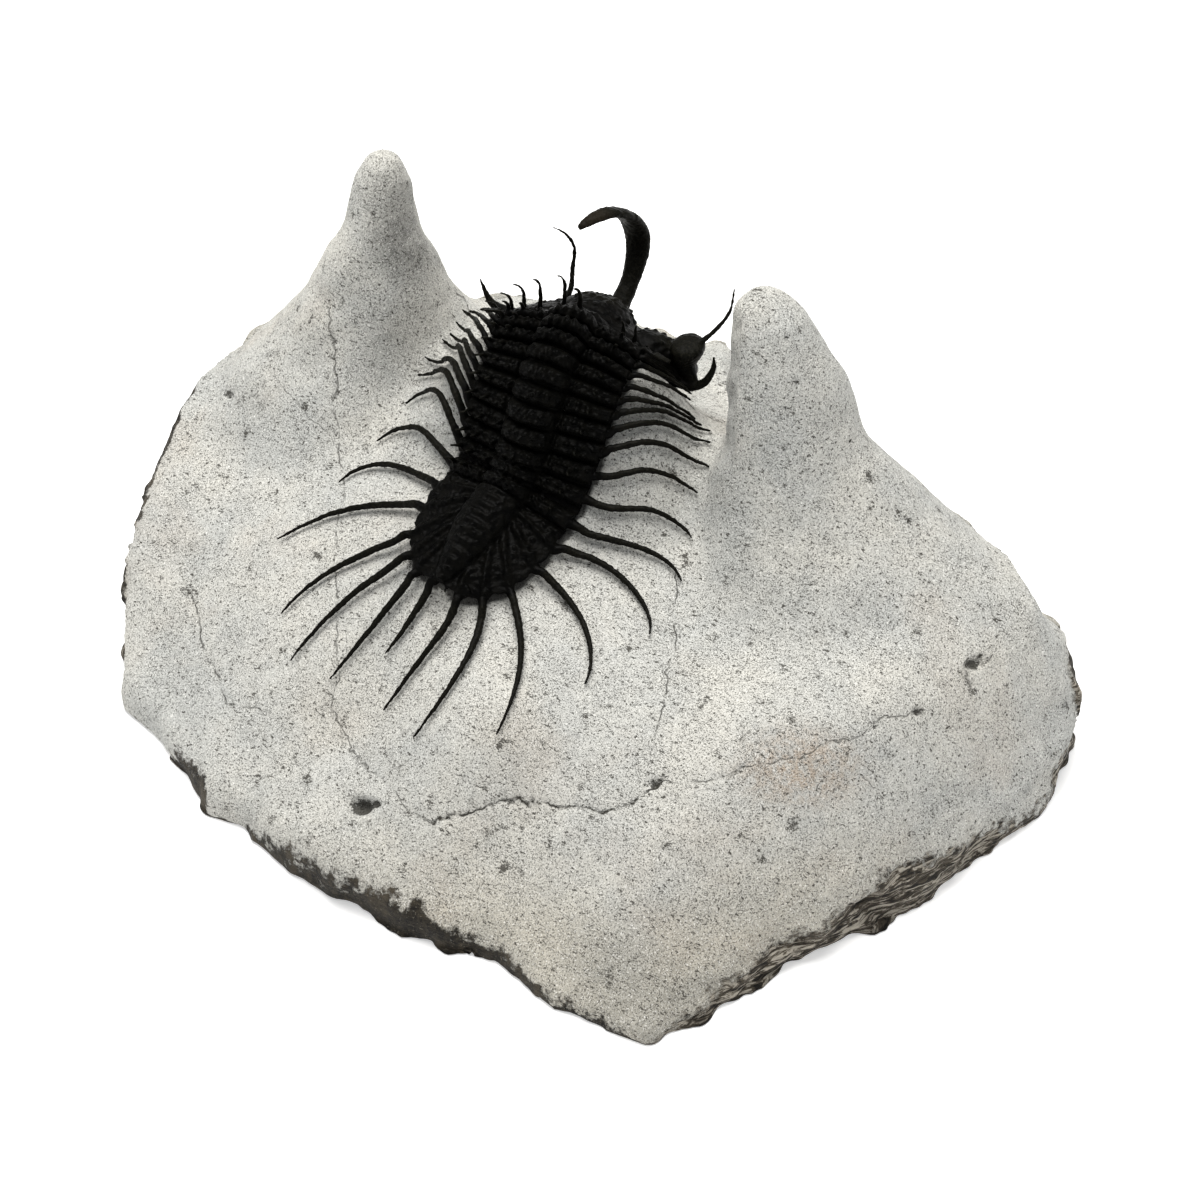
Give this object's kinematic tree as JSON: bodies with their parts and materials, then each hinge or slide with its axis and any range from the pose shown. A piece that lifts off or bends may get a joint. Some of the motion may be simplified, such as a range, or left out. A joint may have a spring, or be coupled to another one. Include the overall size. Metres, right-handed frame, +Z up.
{
  "type": "fossil trilobite on matrix",
  "caption": "Spiny Devonian trilobite in black shell, arched over a prepared block of pale limestone with two tall rock pillars beside its head.",
  "frame": {"origin": "middle of the flat underside of the rock, at the centre of the specimen's bounding box in plan", "axes": "+X to the trilobite's right, along the block's longest side; +Y the way its head points; +Z up, from the flat underside"},
  "size_m": [0.1235, 0.0909, 0.0594],
  "materials": {
    "pale_limestone": "matt, finely pitted, air-abraded pale warm grey limestone with small dark flecks; dark brown broken edge",
    "black_shell": "black calcite shell with a soft gloss, densely granulated; spines dark olive brown where thin"
  },
  "bodies": {
    "root": {"matrix_rock": "pale_limestone", "head_shield": "black_shell", "thorax_segment_01": "black_shell", "thorax_segment_02": "black_shell", "thorax_segment_03": "black_shell", "thorax_segment_04": "black_shell", "thorax_segment_05": "black_shell", "thorax_segment_06": "black_shell", "thorax_segment_07": "black_shell", "thorax_segment_08": "black_shell", "thorax_segment_09": "black_shell", "thorax_segment_10": "black_shell", "thorax_segment_11": "black_shell", "tail_shield": "black_shell"}
  },
  "joints": []
}
